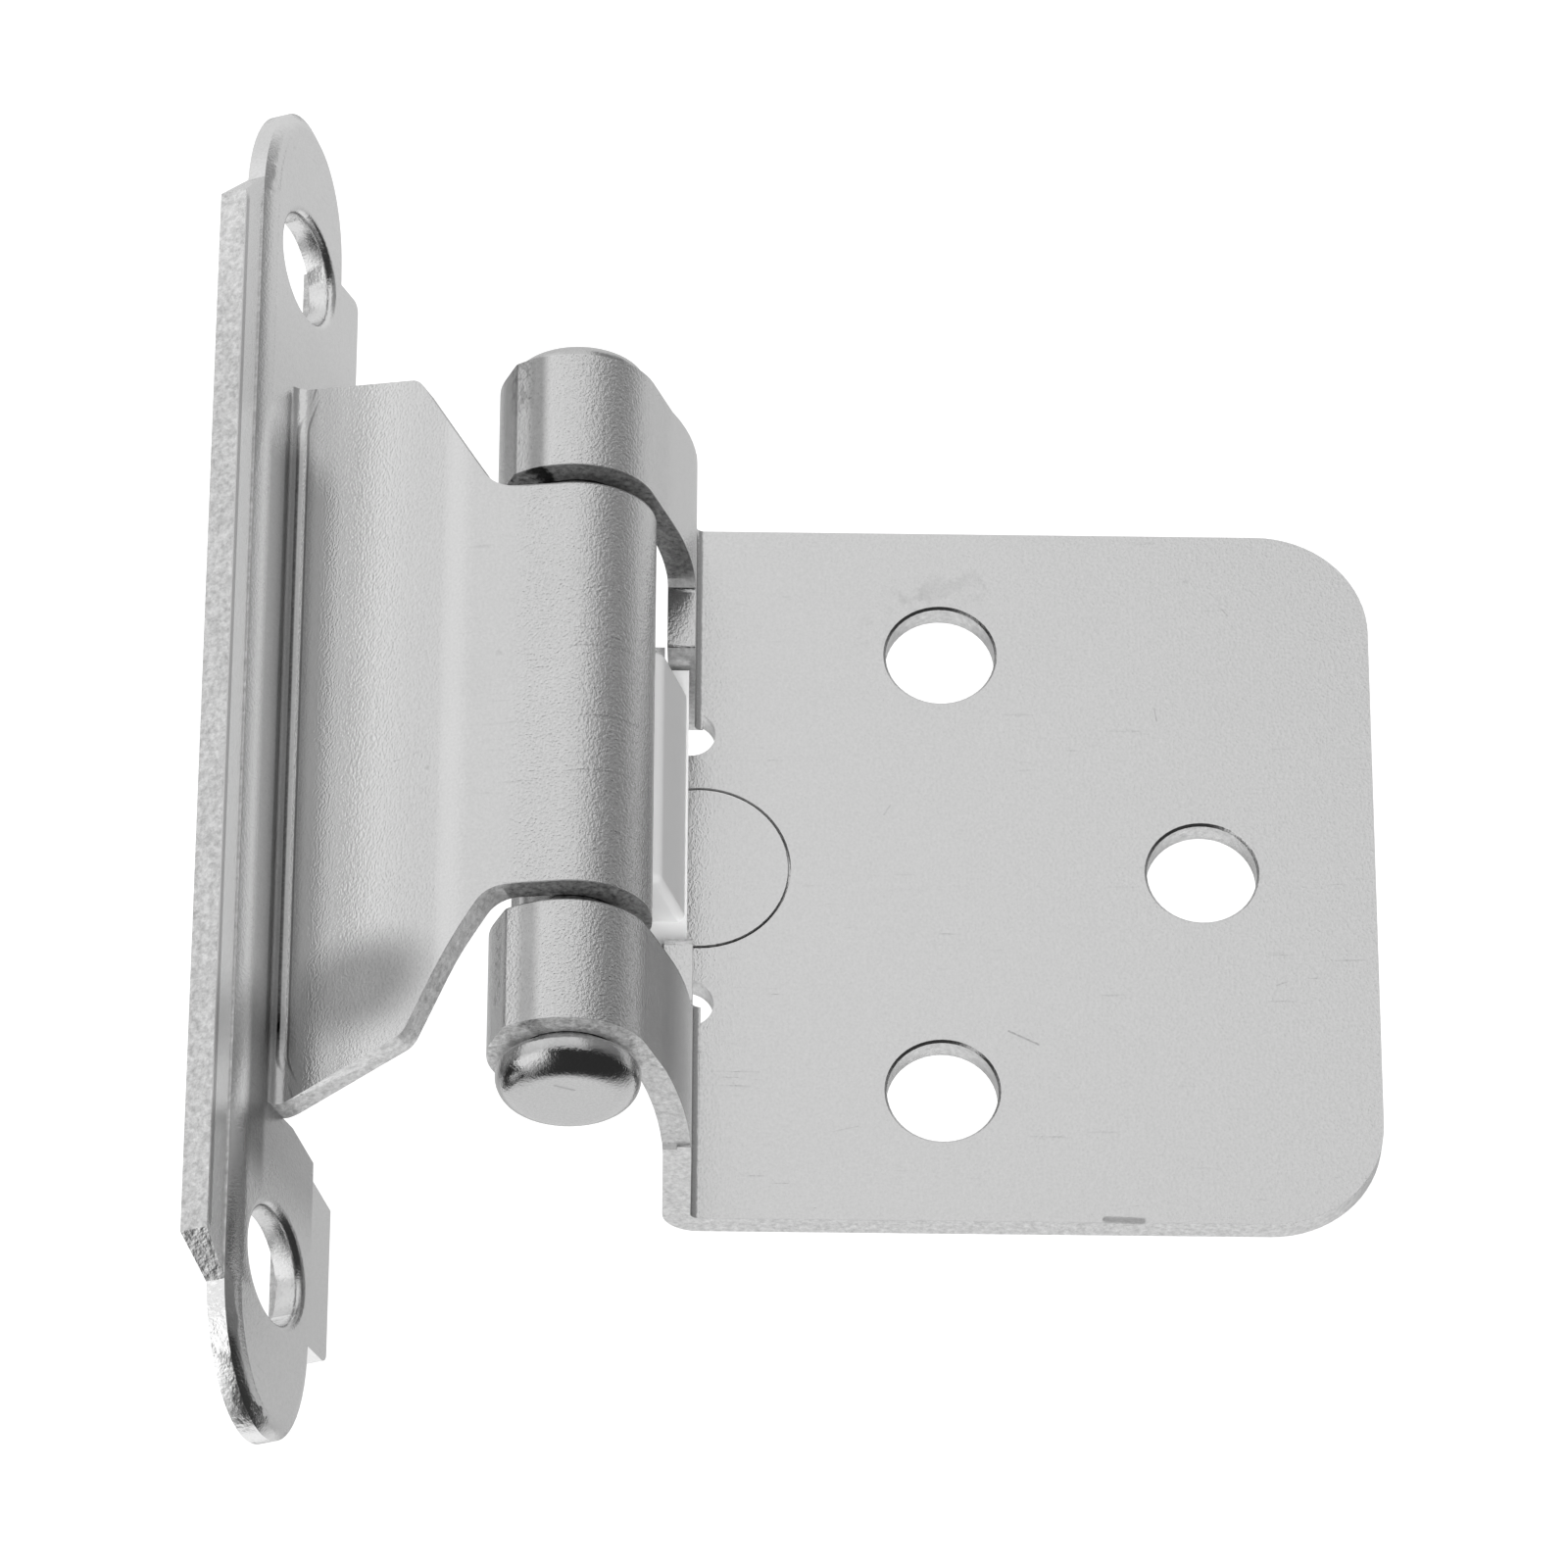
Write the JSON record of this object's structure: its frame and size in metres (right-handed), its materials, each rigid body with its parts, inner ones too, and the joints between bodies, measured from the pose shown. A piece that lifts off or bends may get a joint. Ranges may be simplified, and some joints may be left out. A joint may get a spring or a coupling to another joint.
{
  "type": "self-closing cabinet hinge",
  "caption": "Self-closing overlay cabinet hinge: a screw-on frame wing, a bent door plate, a riveted pin and a sprung follower that snaps the door shut.",
  "frame": {"origin": "midway between the frame wing's two screw holes, on the plane of the wing's back", "axes": "+Z along the pin, +Y into the cabinet frame that the wing is screwed to, -Y out of it, +X towards the wing's near edge, away from the door"},
  "size_m": [0.0371, 0.0441, 0.07],
  "materials": {
    "plated_steel": "satin nickel plate",
    "pin_steel": "satin nickel plate, spun over at both heads",
    "nylon": "smooth moulded",
    "spring_steel": "plated spring strip"
  },
  "bodies": {
    "frame": {"frame_leaf": "plated_steel"},
    "door": {"door_leaf": "plated_steel", "hinge_pin": "pin_steel", "leaf_spring": "spring_steel"},
    "follower": {"cam_follower": "nylon"}
  },
  "joints": [
    {"name": "door_swing", "type": "hinge", "parent": "frame", "child": "door", "pos_m": [-0.0023, -0.0149, 0], "axis": [0, 0, 1], "range_deg": [-66.5, 113.5]},
    {"name": "follower_slide", "type": "slide", "parent": "door", "child": "follower", "axis": [-0.9171, 0.3987, 0], "range_m": [0, 0.0006], "stiffness_N_per_m": 8000, "springref_m": -0.001, "deforming": ["leaf_spring"]}
  ]
}
